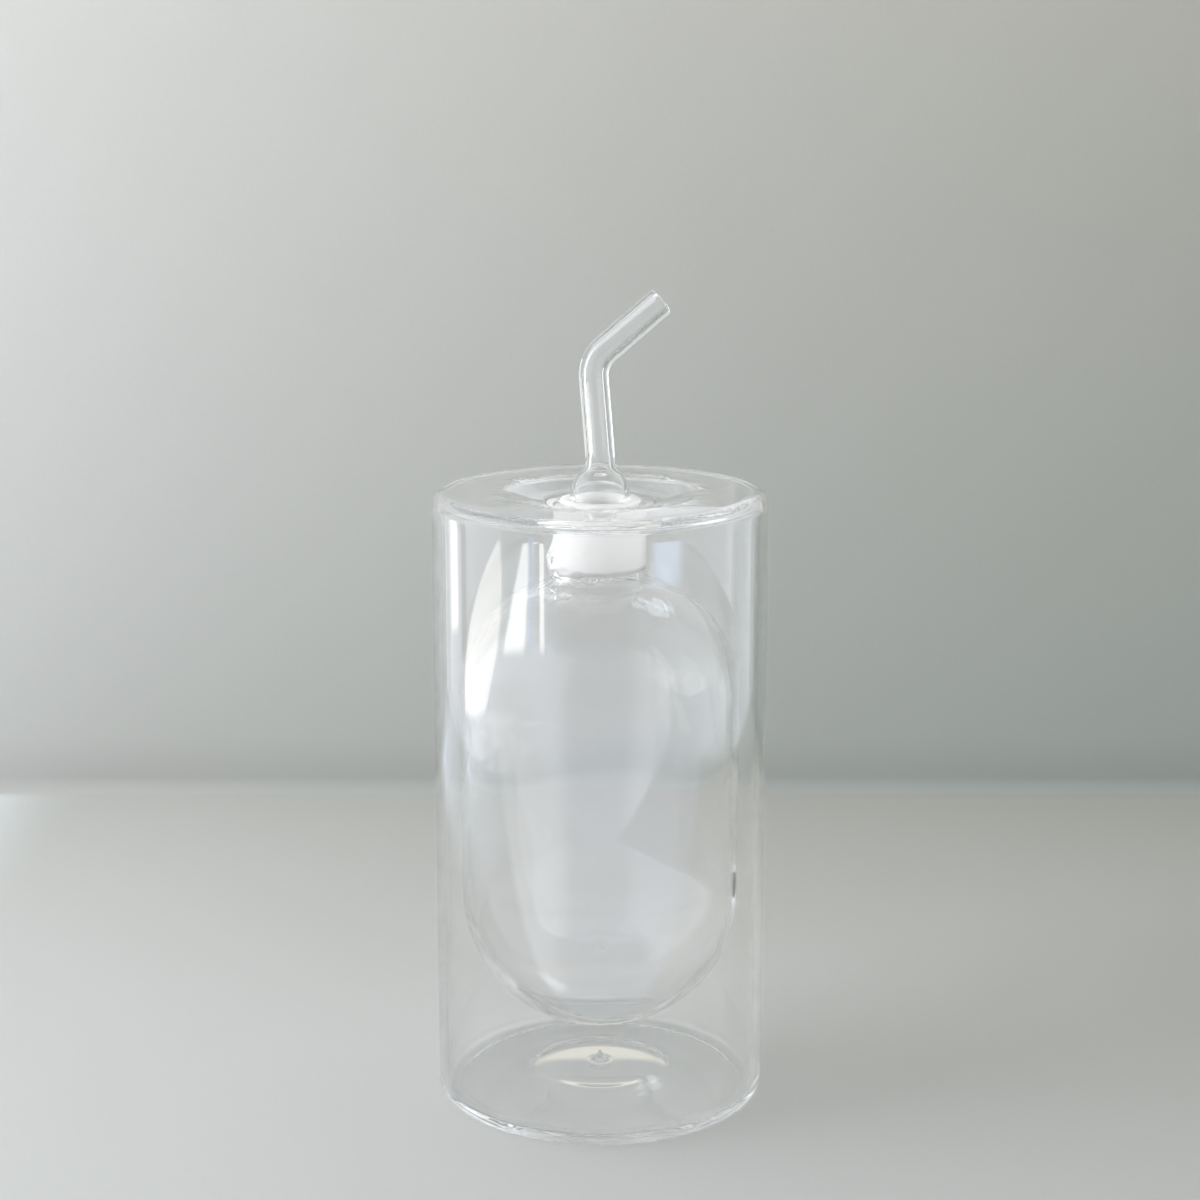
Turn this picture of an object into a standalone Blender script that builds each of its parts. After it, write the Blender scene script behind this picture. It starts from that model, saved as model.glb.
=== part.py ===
"""Double-walled glass oil cruet: a clear cylinder that holds an inner oil vessel, closed by a frosted
silicone stopper that carries a bent glass spout.

Metres, +Z up. The origin is the centre of the ring that the cruet stands on. Every glass component is a
solid of its own, butted against its neighbour along the flame weld that joins them on the real object.
"""

import math

import bmesh
import bpy

MM = 0.001

# Driving dimensions
BODY_HEIGHT = 150 * MM
JACKET_RADIUS = 40 * MM
JACKET_WALL = 2.5 * MM
CORNER_RADIUS = 3 * MM
VESSEL_RADIUS = 33.7 * MM
VESSEL_WALL = 1.8 * MM
VESSEL_LOWEST = 17.7 * MM
SHOULDER_RADIUS = 28 * MM
SHOULDER_Z = 101 * MM
NECK_RADIUS = 11 * MM
NECK_LENGTH = 16.4 * MM
STOPPER_LENGTH = 17.5 * MM
BULB_RADIUS = 7.2 * MM
BULB_WALL = 1.2 * MM
TUBE_RADIUS = 3.5 * MM
TUBE_WALL = 1.5 * MM

# Spout, in the XZ plane: where its centre line turns, and how widely
SPOUT_LEAN_START = 1.5 * MM
SPOUT_LEAN_RADIUS = 20 * MM
SPOUT_ELBOW = (-1.8 * MM, 181.0 * MM)
SPOUT_ELBOW_RADIUS = 8 * MM
SPOUT_TIP = (14.6 * MM, 195.2 * MM)

# Gaps between solids
WELD_GAP = 0.05 * MM
TURNING_GAP = 0.15 * MM

# Top plate: a flat ring round a shallow dish that the neck opens into
DISH_RADIUS = 24 * MM
DISH_FLOOR_RADIUS = 13 * MM
DISH_DEPTH = 2.2 * MM

# Base plate: a flat standing ring round a raised dome with a vent at its middle
STANDING_RING_INNER = 34.5 * MM
BASE_RISE = 3.8 * MM
VENT_RADIUS = 1.5 * MM

# Worked out from the above
WELD_HEIGHT = CORNER_RADIUS + 1 * MM
LIP_Z = BODY_HEIGHT - DISH_DEPTH
NECK_BOTTOM_Z = LIP_Z - NECK_LENGTH
BORE_TOP_RADIUS = NECK_RADIUS - 1.3 * MM
BORE_BOTTOM_RADIUS = NECK_RADIUS - VESSEL_WALL
STEM_RADIUS = 4.5 * MM
BULB_Z = LIP_Z + 1.2 * MM
NECK_FILLET = 3 * MM
BULB_FILLET = 3 * MM

WIDE_STEPS = 48
NARROW_STEPS = 36
ARC_STEP_DEGREES = 22.5


def clear_scene():
    for obj in list(bpy.data.objects):
        bpy.data.objects.remove(obj)


def make_material(name, colour, roughness, transmission):
    """A Principled surface. All the pieces are non-metals."""
    material = bpy.data.materials.new(name)
    material.use_nodes = True
    shader = material.node_tree.nodes["Principled BSDF"]
    shader.inputs["Base Color"].default_value = (*colour, 1.0)
    shader.inputs["Roughness"].default_value = roughness
    shader.inputs["Metallic"].default_value = 0.0
    shader.inputs["Transmission Weight"].default_value = transmission
    return material


def arc(centre, radius, start, end, step=ARC_STEP_DEGREES):
    """Points (r, z) on a circle, from start to end degrees, both included. 0 points out, 90 points up."""
    count = max(2, round(abs(end - start) / step))
    angles = [math.radians(start + (end - start) * i / count) for i in range(count + 1)]
    return [(centre[0] + radius * math.cos(a), centre[1] + radius * math.sin(a)) for a in angles]


def neck_fillet(neck_radius, ball_centre, ball_radius, fillet_radius):
    """Where a fillet joins an upright neck to the round body below it.

    Returns the fillet's centre and the angle, in degrees, of the line from the body's centre to it. The
    fillet touches the neck at its own height and touches the body along that line.
    """
    out = neck_radius + fillet_radius - ball_centre[0]
    up = math.sqrt((ball_radius + fillet_radius) ** 2 - out**2)
    return (ball_centre[0] + out, ball_centre[1] + up), math.degrees(math.atan2(up, out))


def rounded_path(points, radii, step=ARC_STEP_DEGREES):
    """The (x, z) line through points, with each inner corner replaced by an arc of its radius."""
    path = [points[0]]
    for before, corner, after, radius in zip(points, points[1:], points[2:], radii):
        into = math.atan2(corner[1] - before[1], corner[0] - before[0])
        out = math.atan2(after[1] - corner[1], after[0] - corner[0])
        turn = out - into
        side = math.copysign(1, turn)
        reach = radius * math.tan(abs(turn) / 2)
        start = (corner[0] - reach * math.cos(into), corner[1] - reach * math.sin(into))
        centre = (start[0] - side * radius * math.sin(into), start[1] + side * radius * math.cos(into))
        first = math.degrees(into) - side * 90
        path += arc(centre, radius, first, first + math.degrees(turn), step)
    return path + [points[-1]]


def add_object(name, mesh, material, collection):
    obj = bpy.data.objects.new(name, mesh)
    obj.data.materials.append(material)
    collection.objects.link(obj)
    return obj


def turn_profile(name, profile, material, collection, closed=False, steps=WIDE_STEPS):
    """A turned surface: the profile's (r, z) points run down the outer side and are swept round Z."""
    mesh = bpy.data.meshes.new(name)
    edges = [(i, i + 1) for i in range(len(profile) - 1)]
    if closed:
        edges.append((len(profile) - 1, 0))
    mesh.from_pydata([(r, 0, z) for r, z in profile], edges, [])
    obj = add_object(name, mesh, material, collection)
    screw = obj.modifiers.new("turn", "SCREW")
    screw.steps = screw.render_steps = steps
    screw.use_merge_vertices = True
    screw.merge_threshold = 0.01 * MM
    screw.use_smooth_shade = True
    return obj


def thicken(obj, wall):
    """Gives an open surface a wall that grows inwards from it."""
    solidify = obj.modifiers.new("wall", "SOLIDIFY")
    solidify.thickness = wall
    solidify.offset = -1
    solidify.use_even_offset = True
    return obj


def jacket_tube(glass, collection):
    """The straight outer tube, between the welds to the base plate and the top plate."""
    top = BODY_HEIGHT - WELD_HEIGHT - WELD_GAP
    bottom = WELD_HEIGHT + WELD_GAP
    tube = turn_profile("jacket_tube", [(JACKET_RADIUS, top), (JACKET_RADIUS, bottom)], glass, collection)
    return thicken(tube, JACKET_WALL)


def base_plate(glass, collection):
    """The foot: a rounded corner, a flat standing ring, and a dome that rises to the vent."""
    corner_centre = (JACKET_RADIUS - CORNER_RADIUS, CORNER_RADIUS)
    dome_radius = (STANDING_RING_INNER**2 + BASE_RISE**2) / (2 * BASE_RISE)
    dome_centre = (0, BASE_RISE - dome_radius)
    dome_edge = math.degrees(math.acos(STANDING_RING_INNER / dome_radius))
    vent_edge = math.degrees(math.acos(VENT_RADIUS / dome_radius))
    profile = [(JACKET_RADIUS, WELD_HEIGHT)]
    profile += arc(corner_centre, CORNER_RADIUS, 0, -90)
    profile += arc(dome_centre, dome_radius, dome_edge, vent_edge, step=3)
    return thicken(turn_profile("base_plate", profile, glass, collection), JACKET_WALL)


def vent_seal(glass, collection):
    """The bead that closes the vent once the glass has cooled: a short shank and a pointed drop."""
    shank_radius = VENT_RADIUS - WELD_GAP
    seat_z = BASE_RISE + JACKET_WALL + WELD_GAP
    drop_radius = 2 * MM
    profile = [(0, seat_z + 2.4 * MM), (0.35 * MM, seat_z + 1.9 * MM)]
    profile += arc((0, seat_z), drop_radius, 45, 0)
    profile += [(shank_radius, seat_z), (shank_radius, BASE_RISE), (0, BASE_RISE - 0.3 * MM)]
    return turn_profile("vent_seal", profile, glass, collection, steps=NARROW_STEPS)


def top_plate(glass, collection):
    """The lid of the cylinder: it dips in a smooth wave from its flat ring to the neck."""
    wave = 5
    inner_edge = NECK_RADIUS + WELD_GAP
    profile = [(inner_edge, LIP_Z)]
    for i in range(wave + 1):
        share = i / wave
        radius = DISH_FLOOR_RADIUS + (DISH_RADIUS - DISH_FLOOR_RADIUS) * share
        profile.append((radius, LIP_Z + DISH_DEPTH * (1 - math.cos(math.pi * share)) / 2))
    corner_centre = (JACKET_RADIUS - CORNER_RADIUS, BODY_HEIGHT - CORNER_RADIUS)
    profile += arc(corner_centre, CORNER_RADIUS, 90, 0)
    profile.append((JACKET_RADIUS, BODY_HEIGHT - WELD_HEIGHT))
    return thicken(turn_profile("top_plate", profile, glass, collection), JACKET_WALL)


def neck_socket(glass, collection):
    """The short neck, with a tapered bore that grips the stopper and a rounded lip."""
    lip = 0.5 * MM
    bottom = NECK_BOTTOM_Z + WELD_GAP
    profile = [
        (BORE_BOTTOM_RADIUS, bottom),
        (BORE_TOP_RADIUS, LIP_Z - lip),
        (BORE_TOP_RADIUS + lip, LIP_Z),
        (NECK_RADIUS, LIP_Z),
        (NECK_RADIUS, bottom),
    ]
    return turn_profile("neck_socket", profile, glass, collection, closed=True)


def inner_vessel(glass, collection):
    """The oil vessel: round shoulder, straight side and half-round bottom."""
    shoulder_centre = (VESSEL_RADIUS - SHOULDER_RADIUS, SHOULDER_Z)
    fillet_centre, touch = neck_fillet(NECK_RADIUS, shoulder_centre, SHOULDER_RADIUS, NECK_FILLET)
    profile = [(NECK_RADIUS, NECK_BOTTOM_Z)]
    profile += arc(fillet_centre, NECK_FILLET, 180, 180 + touch, step=25)
    profile += arc(shoulder_centre, SHOULDER_RADIUS, touch, 0, step=13)[1:]
    profile += arc((0, VESSEL_LOWEST + VESSEL_RADIUS), VESSEL_RADIUS, 0, -90, step=13)
    return thicken(turn_profile("inner_vessel", profile, glass, collection), VESSEL_WALL)


def stopper_plug(silicone, collection):
    """The stopper: a tapered plug with three fine sealing ribs, bored for the spout's stem and bulb."""
    top, bottom = LIP_Z + 0.4 * MM, LIP_Z + 0.4 * MM - STOPPER_LENGTH
    edge = 0.6 * MM
    rib_height, rib_pitch, lowest_rib = 0.12 * MM, 1.4 * MM, 3.6 * MM
    core_gap = TURNING_GAP + rib_height

    def side(z):
        """The plug's outer radius at height z: the neck's bore less the gap round the ribs."""
        share = (z - NECK_BOTTOM_Z) / (LIP_Z - NECK_BOTTOM_Z)
        return BORE_BOTTOM_RADIUS + (BORE_TOP_RADIUS - BORE_BOTTOM_RADIUS) * share - core_gap

    seat_radius = BULB_RADIUS + TURNING_GAP
    hole_radius = STEM_RADIUS + TURNING_GAP
    seat_top = math.degrees(math.asin((top - BULB_Z) / seat_radius))
    seat_bottom = -math.degrees(math.acos(hole_radius / seat_radius))
    profile = [(hole_radius, bottom)]
    profile += arc((0, BULB_Z), seat_radius, seat_bottom, seat_top, step=13)
    profile += arc((side(top) - edge, top - edge), edge, 90, 0, step=30)
    for rib in (2, 1, 0):
        z = bottom + lowest_rib + rib * rib_pitch
        half = rib_height * 2
        profile += [(side(z + half), z + half), (side(z) + rib_height, z), (side(z - half), z - half)]
    profile += arc((side(bottom) - edge, bottom + edge), edge, 0, -90, step=30)
    return turn_profile("stopper_plug", profile, silicone, collection, closed=True, steps=NARROW_STEPS)


def spout_bulb(glass, collection):
    """The blown bulb that stops the spout in the plug, with the stem below it."""
    centre = (0, BULB_Z)
    top_fillet, top_touch = neck_fillet(TUBE_RADIUS, centre, BULB_RADIUS, BULB_FILLET)
    stem_touch = -math.degrees(math.acos(STEM_RADIUS / BULB_RADIUS))
    profile = [(TUBE_RADIUS, tube_start_z())]
    profile += arc(top_fillet, BULB_FILLET, 180, 180 + top_touch)
    profile += arc(centre, BULB_RADIUS, top_touch, stem_touch, step=18)[1:]
    profile.append((STEM_RADIUS, LIP_Z - STOPPER_LENGTH + 1.5 * MM))
    bulb = turn_profile("spout_bulb", profile, glass, collection, steps=NARROW_STEPS)
    return thicken(bulb, BULB_WALL)


def tube_start_z():
    """The height of the weld between the bulb and the spout's tube."""
    fillet_centre, _ = neck_fillet(TUBE_RADIUS, (0, BULB_Z), BULB_RADIUS, BULB_FILLET)
    return fillet_centre[1] + 0.5 * MM


def spout_tube(glass, collection):
    """The bent tube: it leans back a little, then turns over to pour."""
    start = tube_start_z() + WELD_GAP
    corners = [(0, start), (0, start + SPOUT_LEAN_START), SPOUT_ELBOW, SPOUT_TIP]
    path = rounded_path(corners, (SPOUT_LEAN_RADIUS, SPOUT_ELBOW_RADIUS), step=6)
    curve = bpy.data.curves.new("spout_path", "CURVE")
    curve.dimensions = "3D"
    curve.bevel_depth = TUBE_RADIUS
    curve.bevel_resolution = 6
    spline = curve.splines.new("POLY")
    spline.points.add(len(path) - 1)
    for point, (x, z) in zip(spline.points, path):
        point.co = (x, 0, z, 1)
    guide = bpy.data.objects.new("spout_path", curve)
    collection.objects.link(guide)
    bpy.context.view_layer.update()
    mesh = bpy.data.meshes.new_from_object(guide.evaluated_get(bpy.context.evaluated_depsgraph_get()))
    bpy.data.objects.remove(guide)
    shape = bmesh.new()
    shape.from_mesh(mesh)
    bmesh.ops.remove_doubles(shape, verts=shape.verts, dist=0.001 * MM)
    shape.to_mesh(mesh)
    shape.free()
    mesh.name = "spout_tube"
    mesh.materials.clear()
    mesh.shade_smooth()
    return thicken(add_object("spout_tube", mesh, glass, collection), TUBE_WALL)


def build():
    clear_scene()
    collection = bpy.data.collections.new("oil_cruet")
    bpy.context.scene.collection.children.link(collection)
    glass = make_material("clear_glass", (0.93, 0.95, 0.95), 0.0, 1.0)
    spout_glass = make_material("spout_glass", (0.95, 0.96, 0.96), 0.0, 1.0)
    silicone = make_material("frosted_silicone", (0.86, 0.87, 0.88), 0.55, 0.4)
    for make in (jacket_tube, base_plate, vent_seal, top_plate, neck_socket, inner_vessel):
        make(glass, collection)
    stopper_plug(silicone, collection)
    for make in (spout_bulb, spout_tube):
        make(spout_glass, collection)


build()
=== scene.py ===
"""Looks for the double-walled glass oil cruet: fused clear glass, a milky stopper and a bent glass spout,
on pale paper in window light. Sizes are in metres."""

import math

import bmesh
import bpy
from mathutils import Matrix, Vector, noise


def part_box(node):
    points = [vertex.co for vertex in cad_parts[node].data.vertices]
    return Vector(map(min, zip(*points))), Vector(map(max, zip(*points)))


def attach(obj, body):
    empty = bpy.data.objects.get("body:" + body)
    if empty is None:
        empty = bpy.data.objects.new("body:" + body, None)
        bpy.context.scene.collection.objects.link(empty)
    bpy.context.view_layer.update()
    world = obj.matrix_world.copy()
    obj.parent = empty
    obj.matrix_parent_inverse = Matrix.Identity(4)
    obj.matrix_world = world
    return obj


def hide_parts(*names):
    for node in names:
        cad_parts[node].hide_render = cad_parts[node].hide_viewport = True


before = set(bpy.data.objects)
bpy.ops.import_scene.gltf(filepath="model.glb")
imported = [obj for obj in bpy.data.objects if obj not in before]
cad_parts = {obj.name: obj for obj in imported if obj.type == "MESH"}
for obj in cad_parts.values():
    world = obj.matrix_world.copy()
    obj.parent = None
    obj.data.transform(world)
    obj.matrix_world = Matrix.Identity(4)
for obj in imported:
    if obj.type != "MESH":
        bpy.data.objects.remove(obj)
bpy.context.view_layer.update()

MM = 0.001

# Main sizes, read from the frame. The bottle, its neck and the spout's bulb are centred on the Z axis.
JACKET_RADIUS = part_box("jacket_tube")[1].x
BODY_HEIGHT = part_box("top_plate")[1].z
VESSEL_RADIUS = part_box("inner_vessel")[1].x
VESSEL_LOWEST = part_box("inner_vessel")[0].z
NECK_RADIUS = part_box("neck_socket")[1].x
LIP_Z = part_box("neck_socket")[1].z
NECK_BOTTOM_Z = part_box("neck_socket")[0].z
PLUG_TOP_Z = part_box("stopper_plug")[1].z
PLUG_BOTTOM_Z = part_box("stopper_plug")[0].z
BULB_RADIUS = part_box("spout_bulb")[1].x
STEM_BOTTOM_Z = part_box("spout_bulb")[0].z
TUBE_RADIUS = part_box("spout_tube")[1].y

# The jacket with its top and bottom plates
JACKET_WALL = 2.4 * MM
BASE_WALL = 2.5 * MM
CORNER_RADIUS = 3 * MM
INNER_CORNER = 1.2 * MM
DISH_RADIUS = 24 * MM
DISH_FLOOR_RADIUS = 13 * MM
STANDING_RING_INNER = 34.5 * MM
BASE_RISE = 3.8 * MM
VENT_BEAD_TOP = 8.7 * MM

# The neck and the oil vessel
LIP_ROUND = 0.5 * MM
BORE_TOP_RADIUS = NECK_RADIUS - 1.3 * MM
BORE_BOTTOM_RADIUS = NECK_RADIUS - 1.8 * MM
NECK_FILLET = 3 * MM
THROAT_FILLET = 3.5 * MM
SHOULDER_RADIUS = 28 * MM
SHOULDER_Z = 101 * MM

# The melted blob at the neck's left: its direction in degrees, its level, and how far it spreads in each.
# BLOB_HEIGHT is how far it stands out, and BLOB_CRUMPLE is how deep the folds in it are, CRUMPLE_SIZE apart.
BLOB = (218, 133.5 * MM, 38, 5 * MM)
BLOB_HEIGHT = 3.0 * MM
BLOB_CRUMPLE = 0.9 * MM
CRUMPLE_SIZE = 2.2 * MM

# How hand-worked glass rolls: the size and height of its slow waves. The dish rolls outside DISH_ROLL_INNER,
# and the jacket's inner side above JACKET_ROLL_LOWEST.
VESSEL_ROLL = (26 * MM, 0.28 * MM)
LINING_ROLL = (20 * MM, 0.13 * MM)
DISH_ROLL = (8 * MM, 0.14 * MM)
JACKET_ROLL = (40 * MM, 0.08 * MM)
DISH_ROLL_INNER = 12 * MM
JACKET_ROLL_LOWEST = 12 * MM

# The spout's stem, bulb and tube. The tube lies in the XZ plane, and its points are (x, z).
BULB_Z = LIP_Z + 1.2 * MM
BULB_WALL = 1.2 * MM
BULB_FILLET = 3 * MM
STEM_RADIUS = 4.5 * MM
STEM_TOP_Z = BULB_Z - math.sqrt(BULB_RADIUS**2 - STEM_RADIUS**2)
TUBE_WALL = 1.5 * MM
TUBE_START_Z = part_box("spout_tube")[0].z
BORE_TAPER = 3 * MM
SPOUT_LEAN_START = 1.5 * MM
SPOUT_LEAN_RADIUS = 20 * MM
SPOUT_ELBOW = (-1.8 * MM, 181.0 * MM)
SPOUT_ELBOW_RADIUS = 8 * MM
SPOUT_TIP = (14.6 * MM, 195.2 * MM)

# The plug presses into the glass by GRIP, so that no air shows between them
GRIP = 0.02 * MM
PLUG_EDGE = 0.8 * MM

# How finely round shapes are divided
BOTTLE_STEPS = 288
SPOUT_STEPS = 64
TUBE_RINGS = 60

# The size and height of the fine waves in the glass's surface
BOTTLE_WAVES = (14 * MM, 0.05 * MM)
SPOUT_WAVES = (8 * MM, 0.01 * MM)

# Borosilicate glass, and how much of a lamp's light one of its faces lets through
GLASS_IOR = 1.473
GLASS_TINT = (0.9995, 1.0, 1.0, 1)
GLASS_SHADOW = (0.972, 0.973, 0.968, 1)
SILICONE_IOR = 1.41

# The paper: a table that turns up into a wall behind the cruet. The glass mirrors and bends only the part out
# to PAPER_SIDE on both sides, PAPER_NEAR in front and PAPER_SEEN up the wall.
WALL_Y = 0.242
WALL_TOP = 1.2
COVE = 0.006
PAPER_REACH = 2.5
PAPER_SIDE = 0.34
PAPER_NEAR = 0.12
PAPER_SEEN = 0.2

# Beyond these distances from the cruet the camera sees the paper in one even colour
FAR_EDGES = (0.36, 0.6)
PAPER_FAR = (0.82, 0.83, 0.83, 1)

# The table's colours, with painted light and shade in them, at the corners of an area (left, right, near,
# far): near left, near right, far left and far right. Left of the area, by the window, it is paler with
# painted window light.
TABLE_AREA = (-0.17, 0.20, -0.06, 0.24)
TABLE_PAINTED_LIGHT_COLOURS = (
    (0.646, 0.66, 0.664, 1),
    (0.625, 0.64, 0.625, 1),
    (0.465, 0.478, 0.458, 1),
    (0.462, 0.466, 0.434, 1),
)
# Painted window light: the table's paler, bluer colour left of WINDOW_EDGES, where the window's light falls
TABLE_PAINTED_WINDOW_LIGHT = (0.86, 0.92, 1.0, 1)
WINDOW_EDGES = (-0.25, -0.175)

# A painted caustic: light that the raised base would gather on the table, painted into the paper's colour as
# a crescent behind its middle, with its soft edges
CRESCENT_RADIUS = 21.5 * MM
CRESCENT_FRONT = 8.5 * MM
CRESCENT_SOFT = (2.5 * MM, 4 * MM)
PAINTED_CAUSTIC_COLOUR = (1.05, 1.02, 0.93, 1)

# The wall's colours, with painted light and shade in them, paler high up and darker low down, at the corners
# of an
# area (left, right, low, high): low left, low right, high left and high right
WALL_AREA = (-0.21, 0.21, 0.0, 0.26)
WALL_PAINTED_LIGHT_COLOURS = (
    (0.53, 0.54, 0.53, 1),
    (0.518, 0.565, 0.546, 1),
    (0.662, 0.66, 0.642, 1),
    (0.665, 0.665, 0.612, 1),
)

# The wall's foot is darker: it has this share of its colour up to the first height, and all of it above the
# second
WALL_SHADE = 0.91
WALL_SHADE_EDGES = (4 * MM, 22 * MM)

# How far the paper's fibres, and its slow clouds, lighten or darken it
PAPER_MOTTLE = 0.006

# The room's light on matt things, and what the camera sees beyond the paper
ROOM_PLAIN = (0.1, 0.1, 0.1, 1)
ROOM_SEEN = PAPER_FAR

# The room that the glass mirrors and bends. Directions are in degrees, where 0 is +X, 90 is +Y and 180 is the
# window's side. Heights are in degrees above the horizon.
ROOM_LEFT = (1.62, 1.66, 1.8, 1)
ROOM_RIGHT = (0.98, 1.03, 1.08, 1)
ROOM_FRONT = (1.0, 1.0, 1.04, 1)
ROOM_FRONT_LOW = (0.92, 0.97, 1.14, 1)
ROOM_FRONT_HIGH = (0.76, 0.78, 0.81, 1)
ROOM_BACK = (0.64, 0.66, 0.66, 1)
ROOM_OVERHEAD = (0.5, 0.51, 0.53, 1)
ROOM_FLOOR = (0.60, 0.61, 0.61, 1)

# First and last direction, and softness
FRONT_EDGES = (252, 335, 18)
BACK_EDGES = (36, 144, 8)

# The heights between which each of these fades in, or the floor out
LOW_EDGES = (-19, -13)
HIGH_EDGES = (0, 12)
BACK_FOOT = (-4, 4)
OVERHEAD_EDGES = (45, 60)
FLOOR_EDGES = (-34, -26)

# Bright and dark upright shapes in the room: windows, frames and gaps. Each has two edges, given as their
# directions at PANES_TOP, halfway and PANES_FOOT, then its softness, lowest and highest point, and colour.
# Above and below it fades over PANES_SOFT.
PANES_TOP = -11
PANES_FOOT = -15.5
PANES_SOFT = 0.4
PANES = [
    ((128, 128, 128), (140, 140, 140), 3, -17, -9.5, (3.3, 3.4, 3.5, 1)),
    ((148.5, 148.5, 148.5), (157, 157, 157), 1.5, -13.3, -9.5, (5.7, 5.5, 5.1, 1)),
    ((161, 161, 161), (167, 167, 167), 1.0, -14.0, -9.5, (0.1, 0.0, 0.0, 1)),
    ((201, 201, 201), (232, 232, 232), 1.5, -11.6, -8, (0.5, 0.45, 0.38, 1)),
    ((208, 172, 165), (197, 199, 183), 1.2, -15.2, -9.5, (7.2, 7.0, 6.8, 1)),
    ((222, 206, 193), (228, 219, 216), 1.5, -13.8, -11, (10.8, 10.8, 11.0, 1)),
    ((221, 220, 217), (225, 224, 222), 1.5, -13.8, -9.5, (0.8, 1.6, 3.2, 1)),
    ((229, 229, 229), (232, 232, 232), 0.7, -13.8, -11.3, (11.0, 11.0, 11.2, 1)),
    ((306, 306, 306), (326, 326, 326), 4.0, -12.3, -10.9, (3.9, 4.8, 6.6, 1)),
]

# How much of the panes shows to rays that come out of the glass. Those off its outer skin see all of them.
GHOSTS = 0.12

# Bright things higher up: first and last direction, lowest and highest point, softness and colour
LAMPS = [
    (50, 66, 40, 46, 4, (2.6, 2.8, 3.1, 1)),
    (80, 88, 11, 26, 3, (1.0, 1.02, 1.05, 1)),
]

# The lamps that light the paper and the plug: place, target, size, power and colour
WINDOW_LAMP = ((-1.1, -0.15, 0.5), (0, 0.1, 0.08), (0.9, 0.9), 30.0, (1.0, 1.0, 1.0))
PLUG_LAMP = ((0.9, -0.6, 0.35), (0, 0, 0.14), (0.6, 0.6), 13.0, (1.0, 1.0, 0.98))

CAMERA_PLACE = (0, -0.598, 0.260)
CAMERA_TILT = -12.87
CAMERA_LENS = 76.8


# ---- outlines and meshes ---------------------------------------------------------------------------------


def arc(centre, radius, start, end, step=4.0):
    """Points (r, z) on a circle, from start to end degrees. 0 points out and 90 points up."""
    count = max(2, round(abs(end - start) / step))
    angles = [math.radians(start + (end - start) * i / count) for i in range(count + 1)]
    return [(centre[0] + radius * math.cos(a), centre[1] + radius * math.sin(a)) for a in angles]


def catmull_rom(a, b, c, d, t):
    """The value between b and c at share t, on the smooth curve through a, b, c and d."""
    square = 2 * a - 5 * b + 4 * c - d
    cube = 3 * b - a - 3 * c + d
    return 0.5 * (2 * b + (c - a) * t + square * t * t + cube * t**3)


def smooth_line(points, per_span):
    """A Catmull-Rom curve through (r, z) points."""
    ends = [points[0]] + list(points) + [points[-1]]
    line = []
    for p0, p1, p2, p3 in zip(ends, ends[1:], ends[2:], ends[3:]):
        for i in range(per_span):
            line.append(tuple(catmull_rom(*axis, i / per_span) for axis in zip(p0, p1, p2, p3)))
    return line + [points[-1]]


def split_long(profile, longest=2.5 * MM):
    """The profile with points added, so that no span is longer than longest."""
    out = [profile[0]]
    for (r0, z0), (r1, z1) in zip(profile, profile[1:]):
        count = max(1, math.ceil(math.hypot(r1 - r0, z1 - z0) / longest))
        out += [(r0 + (r1 - r0) * i / count, z0 + (z1 - z0) * i / count) for i in range(1, count + 1)]
    return out


def add_turned(mesh, profile, closed, steps=BOTTLE_STEPS):
    """Adds a surface to a bmesh: profile points (r, z) swept round Z. A point at r = 0 becomes a pole."""
    rings = []
    for r, z in profile:
        if r < 1e-7:
            rings.append([mesh.verts.new((0, 0, z))])
        else:
            turn = [2 * math.pi * k / steps for k in range(steps)]
            rings.append([mesh.verts.new((r * math.cos(a), r * math.sin(a), z)) for a in turn])
    pairs = list(zip(rings, rings[1:]))
    if closed:
        pairs.append((rings[-1], rings[0]))
    faces = []
    for lower, upper in pairs:
        for k in range(steps):
            n = (k + 1) % steps
            if len(lower) == 1:
                corners = (lower[0], upper[n], upper[k])
            elif len(upper) == 1:
                corners = (lower[k], lower[n], upper[0])
            else:
                corners = (lower[k], lower[n], upper[n], upper[k])
            faces.append(mesh.faces.new(corners))
    return faces


def volume_of(faces):
    """The volume that closed faces hold, below 0 if they face in."""
    total = 0.0
    for face in faces:
        a = face.verts[0].co
        for b, c in zip(face.verts[1:-1], face.verts[2:]):
            total += a.dot(b.co.cross(c.co)) / 6
    return total


def face_sign(faces, sign):
    """Turns the faces so that the volume they close has the sign asked for."""
    if volume_of(faces) * sign < 0:
        for face in faces:
            face.normal_flip()


def smooth_object(name, mesh, material):
    """An object made from a bmesh, shaded smooth."""
    data = bpy.data.meshes.new(name)
    mesh.to_mesh(data)
    mesh.free()
    data.shade_smooth()
    data.materials.append(material)
    obj = bpy.data.objects.new(name, data)
    bpy.context.scene.collection.objects.link(obj)
    return obj


def finish_piece(name, mesh, material, body, nodes):
    """A piece of the cruet, which rides on a body and stands for CAD nodes."""
    obj = smooth_object(name, mesh, material)
    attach(obj, body)
    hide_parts(*nodes)
    return obj


# ---- materials -------------------------------------------------------------------------------------------


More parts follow.
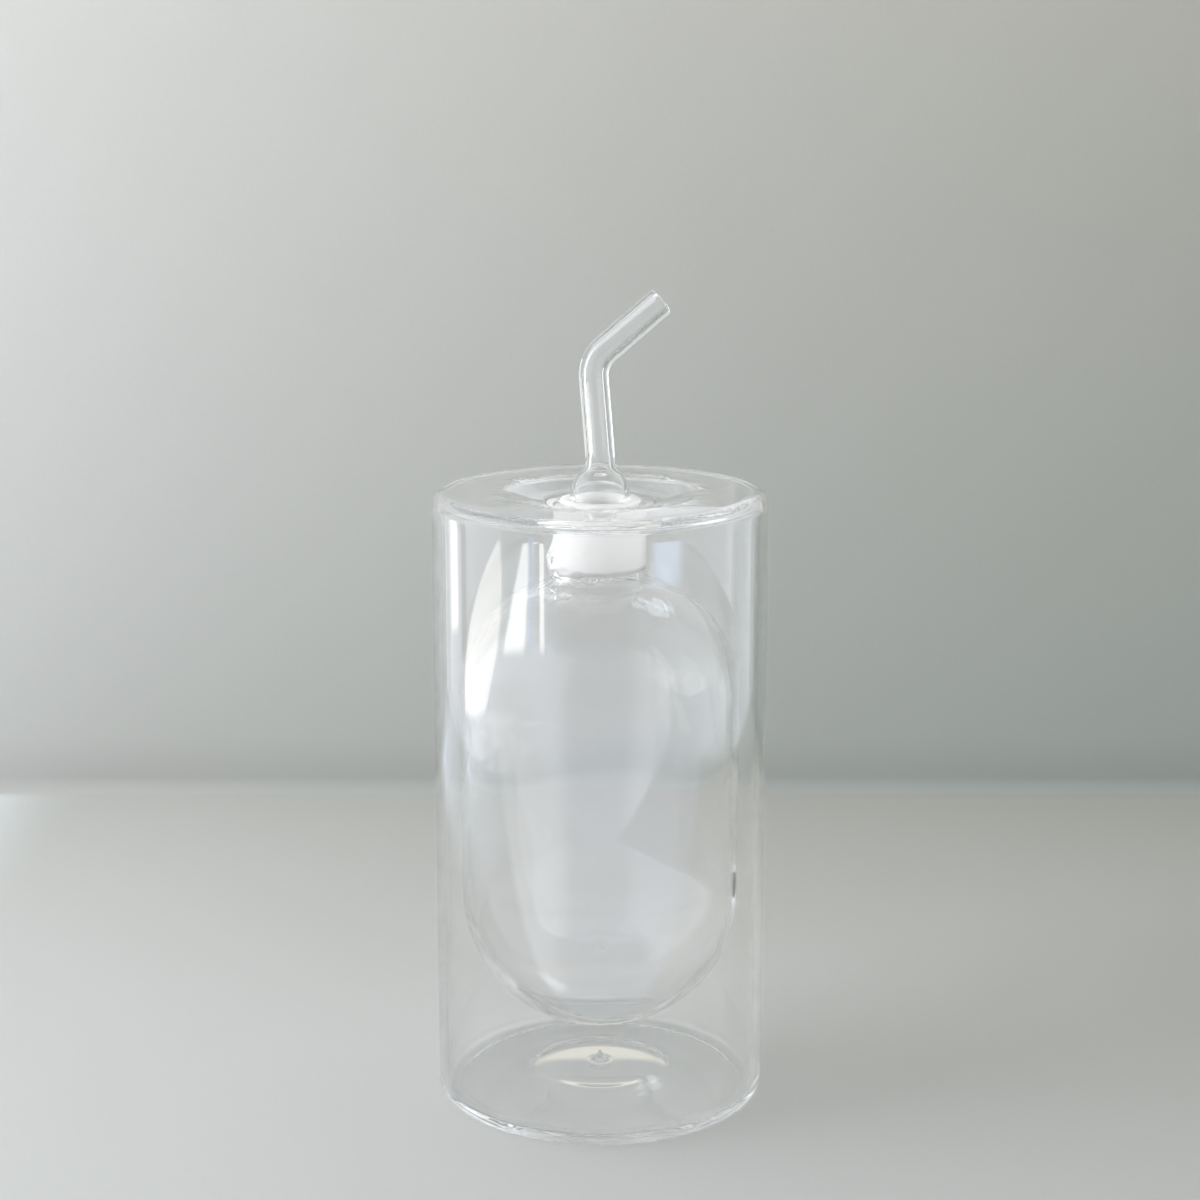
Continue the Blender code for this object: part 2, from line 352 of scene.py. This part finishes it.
class Nodes:
    """A short way to write a node tree."""

    def __init__(self, tree):
        self.tree = tree
        tree.nodes.clear()

    def add(self, kind, settings=(), **inputs):
        """A node. settings are its properties, inputs its sockets by name, as values or as other sockets."""
        node = self.tree.nodes.new(kind)
        for key, value in dict(settings).items():
            setattr(node, key, value)
        for key, value in inputs.items():
            socket = node.inputs[int(key[1:]) if key[1:].isdigit() else key.replace("_", " ")]
            if isinstance(value, bpy.types.NodeSocket):
                self.tree.links.new(value, socket)
            else:
                socket.default_value = value
        return node

    def math(self, operation, *values):
        sockets = {f"i{n}": value for n, value in enumerate(values)}
        return self.add("ShaderNodeMath", {"operation": operation}, **sockets).outputs[0]

    def ease(self, value, low, high, to_low=0.0, to_high=1.0):
        """A smooth step of value: to_low below low, to_high above high."""
        settings = {"interpolation_type": "SMOOTHSTEP"}
        ends = {"i1": low, "i2": high, "i3": to_low, "i4": to_high}
        return self.add("ShaderNodeMapRange", settings, Value=value, **ends).outputs[0]

    def band(self, value, low, high, soft):
        """1 between low and high, falling to 0 over soft outside them."""
        rise = self.ease(value, low - soft, low)
        return self.math("MULTIPLY", rise, self.ease(value, high, high + soft, 1.0, 0.0))

    def mix(self, share, first, second):
        """The colour first, or second where share is 1."""
        node = self.add("ShaderNodeMix", {"data_type": "RGBA"}, i0=share, i6=first, i7=second)
        return node.outputs[2]

    def scaled(self, colour, share):
        """The colour times share."""
        node = self.add("ShaderNodeVectorMath", {"operation": "SCALE"}, i0=colour, Scale=share)
        return node.outputs[0]

    def curve(self, share, start, middle, end):
        """The parabola through start at share 0, middle at 0.5 and end at 1."""
        bend = 2 * start - 4 * middle + 2 * end
        slope = self.math("MULTIPLY_ADD", share, bend, end - start - bend)
        return self.math("MULTIPLY_ADD", slope, share, start)

    def four_corners(self, across, up, area, colours):
        """A colour that runs evenly between the four at an area's corners."""
        left, right, low, high = area
        low_left, low_right, high_left, high_right = colours
        share = self.add("ShaderNodeMapRange", Value=across, i1=left, i2=right).outputs[0]
        rise = self.add("ShaderNodeMapRange", Value=up, i1=low, i2=high).outputs[0]
        return self.mix(rise, self.mix(share, low_left, low_right), self.mix(share, high_left, high_right))

    def blend(self, share, first, second):
        """The shader node first, or second where share is 1."""
        return self.add("ShaderNodeMixShader", i0=share, i1=first.outputs[0], i2=second.outputs[0])

    def surface(self, shader):
        self.add("ShaderNodeOutputMaterial", Surface=shader.outputs[0])


def new_material(name):
    material = bpy.data.materials.new(name)
    material.use_nodes = True
    return material, Nodes(material.node_tree)


def clear_glass(name, wave_size, wave_height):
    """Fire-polished glass, with fine waves and a faint film. Lamps shine straight through it."""
    material, nodes = new_material(name)
    place = nodes.add("ShaderNodeTexCoord").outputs["Object"]
    waves = nodes.add("ShaderNodeTexNoise", Vector=place, Scale=1 / wave_size, Detail=1.0, Roughness=0.4)
    bump = nodes.add("ShaderNodeBump", Strength=0.15, Distance=wave_height, Height=waves.outputs["Fac"])
    film = nodes.add("ShaderNodeTexNoise", Vector=place, Scale=160.0, Detail=3.0)
    roughness = nodes.ease(film.outputs["Fac"], 0.45, 0.75, 0.0, 0.012)
    shader = nodes.add(
        "ShaderNodeBsdfPrincipled",
        Base_Color=GLASS_TINT,
        Roughness=roughness,
        IOR=GLASS_IOR,
        Transmission_Weight=1.0,
        Normal=bump.outputs[0],
    )
    through = nodes.add("ShaderNodeBsdfTransparent", Color=GLASS_SHADOW)
    to_lamp = nodes.add("ShaderNodeLightPath").outputs["Is Shadow Ray"]
    nodes.surface(nodes.blend(to_lamp, shader, through))
    return material


def milky_silicone():
    """The stopper: white, translucent and matt, a little cloudy, with faint turned lines."""
    material, nodes = new_material("milky_silicone")
    place = nodes.add("ShaderNodeTexCoord").outputs["Object"]
    cloud = nodes.add("ShaderNodeTexNoise", Vector=place, Scale=220.0, Detail=4.0).outputs["Fac"]
    pale = (0.99, 0.99, 0.985, 1)
    colour = nodes.mix(nodes.ease(cloud, 0.3, 0.7), (0.97, 0.97, 0.97, 1), pale)
    height = nodes.add("ShaderNodeSeparateXYZ", i0=place).outputs["Z"]
    lines = nodes.add("ShaderNodeTexNoise", {"noise_dimensions": "1D"}, W=height, Scale=900.0, Detail=2.0)
    grain = nodes.add("ShaderNodeTexNoise", Vector=place, Scale=4000.0, Detail=2.0)
    relief = nodes.math("ADD", lines.outputs["Fac"], nodes.math("MULTIPLY", grain.outputs["Fac"], 0.5))
    bump = nodes.add("ShaderNodeBump", Strength=0.3, Distance=0.06 * MM, Height=relief)
    shader = nodes.add(
        "ShaderNodeBsdfPrincipled",
        Base_Color=colour,
        Roughness=nodes.ease(cloud, 0.2, 0.8, 0.5, 0.7),
        IOR=SILICONE_IOR,
        Subsurface_Weight=1.0,
        Subsurface_Radius=(1.0, 1.0, 1.0),
        Subsurface_Scale=6 * MM,
        Normal=bump.outputs[0],
    )
    glow = nodes.add("ShaderNodeBsdfTranslucent", Color=pale, Normal=bump.outputs[0])
    nodes.surface(nodes.blend(0.5, shader, glow))
    return material


# ---- the fused glass of the bottle -----------------------------------------------------------------------


def neck_fillet(neck_radius, centre, radius, fillet):
    """The centre of a fillet between an upright neck and a round body, and the angle where they touch."""
    out = neck_radius + fillet - centre[0]
    up = math.sqrt((radius + fillet) ** 2 - out**2)
    return (centre[0] + out, centre[1] + up), math.degrees(math.atan2(up, out))


def vessel_side(inset):
    """The oil vessel from its neck down to its lowest point, moved inwards by inset."""
    shoulder = (VESSEL_RADIUS - SHOULDER_RADIUS, SHOULDER_Z)
    centre, touch = neck_fillet(NECK_RADIUS, shoulder, SHOULDER_RADIUS, NECK_FILLET)
    side = arc(centre, NECK_FILLET + inset, 180, 180 + touch, 9)
    side += arc(shoulder, SHOULDER_RADIUS - inset, touch, 0)[1:]
    side += arc((0, VESSEL_LOWEST + VESSEL_RADIUS), VESSEL_RADIUS - inset, 0, -90)
    side[-1] = (0, side[-1][1])
    return side


def dish(lift, outer, inner):
    """The top plate's dish, from the flat ring in to the neck. lift moves it up."""
    depth = BODY_HEIGHT - LIP_Z
    count = 12
    line = []
    for i in range(count + 1):
        share = 1 - i / count
        radius = inner + (outer - inner) * share
        line.append((radius, LIP_Z + lift + depth * (1 - math.cos(math.pi * share)) / 2))
    return line


def base_line(lift):
    """The raised middle of the base, from the standing ring in to the centre: a step round a shallow dome."""
    points = [
        (STANDING_RING_INNER, 0.0),
        (33.2 * MM, 0.25 * MM),
        (27 * MM, 0.9 * MM),
        (21 * MM, 1.5 * MM),
        (17.6 * MM, 2.2 * MM),
        (14.6 * MM, 3.3 * MM),
        (11 * MM, 3.75 * MM),
        (5 * MM, BASE_RISE),
    ]
    return [(r, z + lift) for r, z in smooth_line(points, 5)]


def outside_profile():
    """All the glass that the room's air touches, from the oil vessel's floor round to the base's middle."""
    bore = [(BORE_BOTTOM_RADIUS, NECK_BOTTOM_Z), (BORE_TOP_RADIUS, LIP_Z - LIP_ROUND)]
    mouth = arc((BORE_TOP_RADIUS + LIP_ROUND, LIP_Z - LIP_ROUND), LIP_ROUND, 180, 90, 15)
    corner = (JACKET_RADIUS - CORNER_RADIUS, BODY_HEIGHT - CORNER_RADIUS)
    foot = (JACKET_RADIUS - CORNER_RADIUS, CORNER_RADIUS)
    profile = vessel_side(NECK_RADIUS - BORE_BOTTOM_RADIUS)[::-1] + bore + mouth
    profile += dish(0, DISH_RADIUS, DISH_FLOOR_RADIUS)[::-1]
    profile += arc(corner, CORNER_RADIUS, 90, 0, 7)
    profile += arc(foot, CORNER_RADIUS, 0, -90, 7)
    profile += base_line(0) + [(0, BASE_RISE)]
    return split_long(profile)


def inside_profile():
    """The sealed space between jacket and oil vessel, from the vent's seal to the vessel's underside."""
    inner = JACKET_RADIUS - JACKET_WALL
    foot = (inner - INNER_CORNER, BASE_WALL + INNER_CORNER)
    corner = (inner - INNER_CORNER, BODY_HEIGHT - JACKET_WALL - INNER_CORNER)
    throat = NECK_RADIUS + THROAT_FILLET
    under = LIP_Z - JACKET_WALL
    seal = [
        (0, VENT_BEAD_TOP),
        (0.25 * MM, VENT_BEAD_TOP - 0.15 * MM),
        (0.6 * MM, VENT_BEAD_TOP - 0.8 * MM),
        (1.2 * MM, VENT_BEAD_TOP - 1.7 * MM),
        (2.3 * MM, BASE_RISE + BASE_WALL + 0.05 * MM),
    ]
    profile = smooth_line(seal, 4)
    profile += [p for p in base_line(BASE_WALL)[::-1] if 4.5 * MM < p[0] < foot[0] - 1 * MM]
    profile += arc(foot, INNER_CORNER, -90, 0, 10)
    profile += arc(corner, INNER_CORNER, 0, 90, 10)
    profile += dish(-JACKET_WALL, DISH_RADIUS, throat)
    profile += arc((throat, under - THROAT_FILLET), THROAT_FILLET, 90, 180, 15)[1:]
    side = vessel_side(0)
    neck = split_long([profile[-1], side[0]], 0.6 * MM)
    return split_long(profile + neck[1:-1] + side)


def roll(vertices, size, height):
    """Moves points along their normals by slow noise, as blown glass rolls."""
    for vertex in vertices:
        vertex.co += vertex.normal * noise.noise(vertex.co / size) * height


def swell(vertices, centre, height, crumple):
    """Moves points near centre, (angle, z, angle spread, z spread), out along their normals, with folds."""
    turn, level, turn_spread, level_spread = centre
    for vertex in vertices:
        angle = math.degrees(math.atan2(vertex.co.y, vertex.co.x)) % 360
        far = ((angle - turn) / turn_spread) ** 2 + ((vertex.co.z - level) / level_spread) ** 2
        if far < 9 and vertex.co.xy.length < SHOULDER_RADIUS:
            fold = crumple * noise.noise(vertex.co / CRUMPLE_SIZE)
            vertex.co += vertex.normal * (height + fold) * math.exp(-far)


def within(vertices, radii, heights):
    """The vertices at a distance from the axis, and at a height, between the two given."""
    return [v for v in vertices if radii[0] < v.co.xy.length < radii[1] and heights[0] < v.co.z < heights[1]]


def bottle_glass(material):
    """The bottle's fused glass: one closed skin outside, and one round the sealed space."""
    mesh = bmesh.new()
    outside = add_turned(mesh, outside_profile(), closed=False)
    face_sign(outside, 1)
    inside = add_turned(mesh, inside_profile(), closed=False)
    face_sign(inside, -1)
    mesh.normal_update()
    skin = {v for face in outside for v in face.verts}
    cavity = {v for face in inside for v in face.verts}
    swell(cavity, BLOB, BLOB_HEIGHT, BLOB_CRUMPLE)
    mesh.normal_update()
    vessel_heights = (VESSEL_LOWEST - 1 * MM, NECK_BOTTOM_Z - 2 * MM)
    roll(within(skin | cavity, (-1, VESSEL_RADIUS + 0.3 * MM), vessel_heights), *VESSEL_ROLL)
    lining_heights = (VESSEL_LOWEST, NECK_BOTTOM_Z - 4 * MM)
    roll(within(skin, (-1, VESSEL_RADIUS), lining_heights), *LINING_ROLL)
    dish_heights = (LIP_Z - 0.1 * MM, BODY_HEIGHT + 1 * MM)
    roll(within(skin, (DISH_ROLL_INNER, DISH_RADIUS), dish_heights), *DISH_ROLL)
    jacket_heights = (JACKET_ROLL_LOWEST, BODY_HEIGHT)
    roll(within(cavity, (VESSEL_RADIUS + 1 * MM, JACKET_RADIUS), jacket_heights), *JACKET_ROLL)
    nodes = ("jacket_tube", "base_plate", "vent_seal", "top_plate", "neck_socket", "inner_vessel")
    return finish_piece("bottle_glass", mesh, material, "bottle", nodes)


# ---- the spout -------------------------------------------------------------------------------------------


def rounded_path(points, radii, step=4.0):
    """The (x, z) line through points, with each inner corner replaced by an arc of its radius."""
    path = [points[0]]
    for before, corner, after, radius in zip(points, points[1:], points[2:], radii):
        into = math.atan2(corner[1] - before[1], corner[0] - before[0])
        out = math.atan2(after[1] - corner[1], after[0] - corner[0])
        turn = out - into
        side = math.copysign(1, turn)
        reach = radius * math.tan(abs(turn) / 2)
        start = (corner[0] - reach * math.cos(into), corner[1] - reach * math.sin(into))
        centre = (start[0] - side * radius * math.sin(into), start[1] + side * radius * math.cos(into))
        first = math.degrees(into) - side * 90
        path += arc(centre, radius, first, first + math.degrees(turn), step)
    return path + [points[-1]]


def along(path, distance):
    """The point of the (x, z) path at a distance along it, and the path's direction there."""
    for (x0, z0), (x1, z1) in zip(path, path[1:]):
        span = math.hypot(x1 - x0, z1 - z0)
        if distance <= span or (x1, z1) == path[-1]:
            share = distance / span
            direction = Vector(((x1 - x0) / span, 0, (z1 - z0) / span))
            return Vector((x0 + (x1 - x0) * share, 0, z0 + (z1 - z0) * share)), direction
        distance -= span


def path_length(path):
    return sum(math.dist(a, b) for a, b in zip(path, path[1:]))


def bulb_outline(wall):
    """(distance, radius) rings of the bulb and stem's outer side, moved in by wall, from the top down."""
    centre = (0, BULB_Z)
    fillet, touch = neck_fillet(TUBE_RADIUS, centre, BULB_RADIUS, BULB_FILLET)
    stem_touch = -math.degrees(math.acos((STEM_RADIUS - wall) / (BULB_RADIUS - wall)))
    line = arc(fillet, BULB_FILLET + wall, 180, 180 + touch, 8)
    line += arc(centre, BULB_RADIUS - wall, touch, stem_touch, 5)[1:]
    return [(z - STEM_BOTTOM_Z, r) for r, z in line]


def rim(distance, radius, wall, facing):
    """(distance, radius) rings of a fire-polished tube end. facing is 1 for the far end, -1 for the near."""
    half = wall / 2
    middle = radius - half
    turn = [math.pi * i / 8 for i in range(9)]
    return [(distance + facing * half * math.sin(a), middle + facing * half * math.cos(a)) for a in turn]


def straight(start, end, radius):
    """(distance, radius) rings of a plain length of tube, without the two at its ends."""
    return [(start + (end - start) * i / TUBE_RINGS, radius) for i in range(1, TUBE_RINGS)]


def taper(start, narrow, wide, count=8):
    """(distance, radius) rings of the bore where it widens into the bulb, from the narrow end down."""
    rings = []
    for i in range(count):
        share = (1 + math.cos(math.pi * i / count)) / 2
        rings.append((start - BORE_TAPER * i / count, narrow * share + wide * (1 - share)))
    return rings


def spout_rings(tip):
    """(distance, radius) rings round the spout's glass: up its outside, over the tip and down its bore."""
    outside = bulb_outline(0)
    inside = bulb_outline(BULB_WALL)
    bulb_top, bore_bottom = outside[0][0], inside[0][0]
    bore = TUBE_RADIUS - TUBE_WALL
    throat = bore_bottom + BORE_TAPER
    rings = outside[::-1]
    rings += straight(bulb_top, tip, TUBE_RADIUS)
    rings += rim(tip, TUBE_RADIUS, TUBE_WALL, 1)
    rings += straight(tip, throat, bore)
    rings += taper(throat, bore, inside[0][1])
    rings += inside
    return rings + rim(BULB_WALL / 2, STEM_RADIUS, BULB_WALL, -1)


def spout_glass(material):
    """The spout: stem, bulb and bent tube, fused into one."""
    path = rounded_path(
        [(0, STEM_BOTTOM_Z), (0, TUBE_START_Z + SPOUT_LEAN_START), SPOUT_ELBOW, SPOUT_TIP],
        (SPOUT_LEAN_RADIUS, SPOUT_ELBOW_RADIUS),
    )
    turn = [2 * math.pi * k / SPOUT_STEPS for k in range(SPOUT_STEPS)]
    mesh = bmesh.new()
    loops = []
    for distance, radius in spout_rings(path_length(path) - TUBE_WALL / 2):
        centre, direction = along(path, distance)
        across = Vector((direction.z, 0, -direction.x))
        spots = [centre + radius * (across * math.cos(a) + Vector((0, 1, 0)) * math.sin(a)) for a in turn]
        loops.append([mesh.verts.new(p) for p in spots])
    faces = []
    for lower, upper in zip(loops, loops[1:] + loops[:1]):
        for k in range(SPOUT_STEPS):
            n = (k + 1) % SPOUT_STEPS
            faces.append(mesh.faces.new((lower[k], lower[n], upper[n], upper[k])))
    face_sign(faces, 1)
    mesh.normal_update()
    return finish_piece("spout_glass", mesh, material, "spout", ("spout_bulb", "spout_tube"))


# ---- the stopper -----------------------------------------------------------------------------------------


def stopper(material):
    """The plug. It presses into the neck's bore and round the bulb, with no air between them."""
    seat = BULB_RADIUS - GRIP
    hole = STEM_RADIUS - GRIP

    def side(z):
        """The plug's outer radius at a height: the bore's, and GRIP more."""
        share = (z - NECK_BOTTOM_Z) / (LIP_Z - NECK_BOTTOM_Z)
        return BORE_BOTTOM_RADIUS + (BORE_TOP_RADIUS - BORE_BOTTOM_RADIUS) * share + GRIP

    top, bottom = PLUG_TOP_Z, PLUG_BOTTOM_Z
    seat_top = math.degrees(math.asin((top - 0.2 * MM - BULB_Z) / seat))
    seat_bottom = -math.degrees(math.acos(hole / seat))
    shoulder = LIP_Z - LIP_ROUND
    profile = [(hole, bottom + 0.3 * MM), (hole, STEM_TOP_Z)]
    profile += arc((0, BULB_Z), seat, seat_bottom, seat_top, 5)
    profile += [(seat + 0.25 * MM, top)]
    profile += arc((side(shoulder) - PLUG_EDGE, top - PLUG_EDGE), PLUG_EDGE, 90, 0, 15)
    profile += [(side(shoulder), shoulder), (side(NECK_BOTTOM_Z), NECK_BOTTOM_Z)]
    profile += arc((side(NECK_BOTTOM_Z) - PLUG_EDGE, bottom + PLUG_EDGE), PLUG_EDGE, 0, -90, 15)
    profile += [(hole + 0.3 * MM, bottom)]
    mesh = bmesh.new()
    face_sign(add_turned(mesh, split_long(profile, 1.2 * MM), closed=True), 1)
    mesh.normal_update()
    return finish_piece("stopper_plug_soft", mesh, material, "stopper", ("stopper_plug",))


# ---- table, wall, light and camera -----------------------------------------------------------------------


def sheet(name, points, left, right, material):
    """A backdrop sheet: the (y, z) line points, drawn out along X from left to right."""
    count = 40
    mesh = bmesh.new()
    rows = []
    for y, z in points:
        rows.append([mesh.verts.new((left + (right - left) * i / count, y, z)) for i in range(count + 1)])
    for near, far in zip(rows, rows[1:]):
        for i in range(count):
            mesh.faces.new((near[i], near[i + 1], far[i + 1], far[i]))
    obj = smooth_object(name, mesh, material)
    return obj


def backdrop_material():
    """Pale matt paper, seen from its front only: from behind, the camera looks through it."""
    material, nodes = new_material("backdrop_paper")
    where = nodes.add("ShaderNodeNewGeometry")
    place = nodes.add("ShaderNodeSeparateXYZ", i0=where.outputs["Position"])
    x, y, z = (place.outputs[axis] for axis in "XYZ")
    far = nodes.math("SQRT", nodes.math("ADD", nodes.math("MULTIPLY", x, x), nodes.math("MULTIPLY", y, y)))

    # The table's colour carries painted light and shade: paler by the window and in front, darker towards the
    # wall
    table = nodes.four_corners(x, y, TABLE_AREA, TABLE_PAINTED_LIGHT_COLOURS)
    table = nodes.mix(nodes.ease(x, *WINDOW_EDGES, 1.0, 0.0), table, TABLE_PAINTED_WINDOW_LIGHT)
    # Painted light: a crescent caustic painted into the table's colour behind the base's middle
    side_soft, front_soft = CRESCENT_SOFT
    painted_caustic = nodes.ease(far, CRESCENT_RADIUS - side_soft, CRESCENT_RADIUS, 1.0, 0.0)
    painted_caustic = nodes.math("MULTIPLY", painted_caustic, nodes.ease(y, CRESCENT_FRONT, CRESCENT_FRONT + front_soft))
    table = nodes.mix(painted_caustic, table, PAINTED_CAUSTIC_COLOUR)

    # The wall's colour carries painted light and shade, and WALL_SHADE paints more shade on its foot
    wall = nodes.four_corners(x, z, WALL_AREA, WALL_PAINTED_LIGHT_COLOURS)
    wall = nodes.scaled(wall, nodes.ease(z, *WALL_SHADE_EDGES, WALL_SHADE, 1.0))
    colour = nodes.mix(nodes.ease(z, 0.0, COVE / 4), table, wall)

    fibre = nodes.add("ShaderNodeTexNoise", Vector=where.outputs["Position"], Scale=900.0, Detail=4.0)
    cloud = nodes.add("ShaderNodeTexNoise", Vector=where.outputs["Position"], Scale=6.0, Detail=2.0)
    mottle = nodes.ease(fibre.outputs["Fac"], 0.3, 0.7, -PAPER_MOTTLE, PAPER_MOTTLE)
    drift = nodes.ease(cloud.outputs["Fac"], 0.3, 0.7, -PAPER_MOTTLE, PAPER_MOTTLE)
    colour = nodes.scaled(colour, nodes.math("ADD", nodes.math("ADD", mottle, drift), 1.0))

    paper = nodes.add("ShaderNodeBsdfDiffuse", Color=colour, Roughness=0.5)
    even = nodes.add("ShaderNodeEmission", Color=PAPER_FAR)
    to_camera = nodes.add("ShaderNodeLightPath").outputs["Is Camera Ray"]
    paper = nodes.blend(nodes.math("MULTIPLY", nodes.ease(far, *FAR_EDGES), to_camera), paper, even)
    clear = nodes.add("ShaderNodeBsdfTransparent")
    nodes.surface(nodes.blend(where.outputs["Backfacing"], paper, clear))
    return material


def backdrop():
    """The glass mirrors and bends only the middle of the paper. Beyond that it meets the room's light."""
    paper = backdrop_material()
    cove = arc((WALL_Y - COVE, COVE), COVE, -90, 0, 11.25)
    near = [(-PAPER_REACH, 0), (-PAPER_NEAR, 0)]
    high = [(WALL_Y, PAPER_SEEN), (WALL_Y, WALL_TOP)]
    whole = near[:1] + cove + high[1:]
    sheet("backdrop", near[1:] + cove + high[:1], -PAPER_SIDE, PAPER_SIDE, paper)
    rest = [
        sheet("backdrop_left", whole, -PAPER_REACH, -PAPER_SIDE, paper),
        sheet("backdrop_right", whole, PAPER_SIDE, PAPER_REACH, paper),
        sheet("backdrop_front", near, -PAPER_SIDE, PAPER_SIDE, paper),
        sheet("backdrop_top", high, -PAPER_SIDE, PAPER_SIDE, paper),
    ]
    for piece in rest:
        piece.visible_glossy = False
        piece.visible_transmission = False


def mirrored_room(nodes, turn, height, left):
    """The room's plain colour at turn degrees round and height degrees up. left is 1 at the left."""
    room = nodes.mix(left, ROOM_RIGHT, ROOM_LEFT)
    front = nodes.band(turn, *FRONT_EDGES)
    room = nodes.mix(front, room, nodes.mix(nodes.ease(height, *LOW_EDGES), ROOM_FRONT_LOW, ROOM_FRONT))
    back = nodes.math("MULTIPLY", nodes.band(turn, *BACK_EDGES), nodes.ease(height, *BACK_FOOT))
    room = nodes.mix(back, room, ROOM_BACK)
    high = nodes.math("MULTIPLY", front, nodes.ease(height, *HIGH_EDGES))
    room = nodes.mix(high, room, ROOM_FRONT_HIGH)
    room = nodes.mix(nodes.ease(height, *OVERHEAD_EDGES), room, ROOM_OVERHEAD)
    return nodes.mix(nodes.ease(height, *FLOOR_EDGES, 1.0, 0.0), room, ROOM_FLOOR)


def add_panes(nodes, room, turn, height, seen):
    """The room's colour with the PANES in front of it, as far as seen says."""
    drop = nodes.math("DIVIDE", nodes.math("SUBTRACT", height, PANES_TOP), PANES_FOOT - PANES_TOP)
    for low, high, soft, bottom, top, colour in PANES:
        past_low = nodes.math("SUBTRACT", turn, nodes.curve(drop, *low))
        past_high = nodes.math("SUBTRACT", turn, nodes.curve(drop, *high))
        share = nodes.ease(past_low, -soft, soft)
        share = nodes.math("MULTIPLY", share, nodes.ease(past_high, -soft, soft, 1.0, 0.0))
        share = nodes.math("MULTIPLY", share, nodes.band(height, bottom, top, PANES_SOFT))
        room = nodes.mix(nodes.math("MULTIPLY", share, seen), room, colour)
    return room


def add_lamps(nodes, room, turn, height):
    """The room's colour with the LAMPS in front of it."""
    for first, last, bottom, top, soft, colour in LAMPS:
        share = nodes.band(turn, first, last, soft)
        share = nodes.math("MULTIPLY", share, nodes.band(height, bottom, top, soft))
        room = nodes.mix(share, room, colour)
    return room


def room_light():
    """The world: faint light for matt things, paper for the camera, and a room for what the glass mirrors."""
    world = bpy.data.worlds.new("room")
    bpy.context.scene.world = world
    world.use_nodes = True
    nodes = Nodes(world.node_tree)
    way = nodes.add("ShaderNodeTexCoord").outputs["Generated"]
    place = nodes.add("ShaderNodeSeparateXYZ", i0=way)
    turn = nodes.math("DEGREES", nodes.math("ARCTAN2", place.outputs["Y"], place.outputs["X"]))
    turn = nodes.math("WRAP", turn, 360.0, 0.0)
    height = nodes.math("DEGREES", nodes.math("ARCSINE", place.outputs["Z"]))
    left = nodes.ease(place.outputs["X"], -1.0, 1.0, 1.0, 0.0)
    rays = nodes.add("ShaderNodeLightPath")
    through, off = rays.outputs["Is Transmission Ray"], rays.outputs["Is Glossy Ray"]
    room = mirrored_room(nodes, turn, height, left)
    room = add_panes(nodes, room, turn, height, nodes.math("MULTIPLY_ADD", through, GHOSTS - 1, 1.0))
    room = add_lamps(nodes, room, turn, height)
    colour = nodes.mix(rays.outputs["Is Camera Ray"], ROOM_PLAIN, ROOM_SEEN)
    colour = nodes.mix(nodes.math("MAXIMUM", off, through), colour, room)
    background = nodes.add("ShaderNodeBackground", Color=colour, Strength=1.0)
    nodes.add("ShaderNodeOutputWorld", Surface=background.outputs[0])


def area_light(name, place, target, size, power, colour):
    """A rectangular lamp at place that faces target. The camera and the glass don't see it."""
    light = bpy.data.lights.new(name, "AREA")
    light.shape = "RECTANGLE"
    light.size, light.size_y = size
    light.energy = power
    light.color = colour
    obj = bpy.data.objects.new(name, light)
    bpy.context.scene.collection.objects.link(obj)
    obj.location = place
    obj.rotation_euler = (Vector(target) - Vector(place)).to_track_quat("-Z", "Y").to_euler()
    obj.visible_camera = False
    obj.visible_glossy = False
    obj.visible_transmission = False
    return obj


def light_only(lamp, piece):
    """Makes a lamp light one piece and nothing else."""
    lit = bpy.data.collections.new(lamp.name + "_lights")
    lit.objects.link(piece)
    lamp.light_linking.receiver_collection = lit


def camera():
    """The camera, a little above the cruet and tilted down to it."""
    data = bpy.data.cameras.new("camera")
    data.sensor_width = 36
    data.lens = CAMERA_LENS
    data.clip_start = 0.01
    obj = bpy.data.objects.new("camera", data)
    bpy.context.scene.collection.objects.link(obj)
    obj.location = CAMERA_PLACE
    obj.rotation_euler = (math.radians(90 + CAMERA_TILT), 0, 0)
    bpy.context.scene.camera = obj


def glass_bounces():
    """Enough bounces for light to pass both walls and every rim. With fewer the glass gets black edges."""
    scene = bpy.context.scene
    scene.cycles.max_bounces = 200
    scene.cycles.transmission_bounces = 160
    scene.cycles.glossy_bounces = 160
    scene.cycles.transparent_max_bounces = 32
    scene.cycles.diffuse_bounces = 4


# ---- the scene -------------------------------------------------------------------------------------------

bottle_glass(clear_glass("bottle_glass", *BOTTLE_WAVES))
spout_glass(clear_glass("spout_glass", *SPOUT_WAVES))
plug = stopper(milky_silicone())
backdrop()
room_light()
area_light("window", *WINDOW_LAMP)
light_only(area_light("fill", *PLUG_LAMP), plug)
camera()
glass_bounces()
bpy.context.scene.view_settings.view_transform = "Standard"
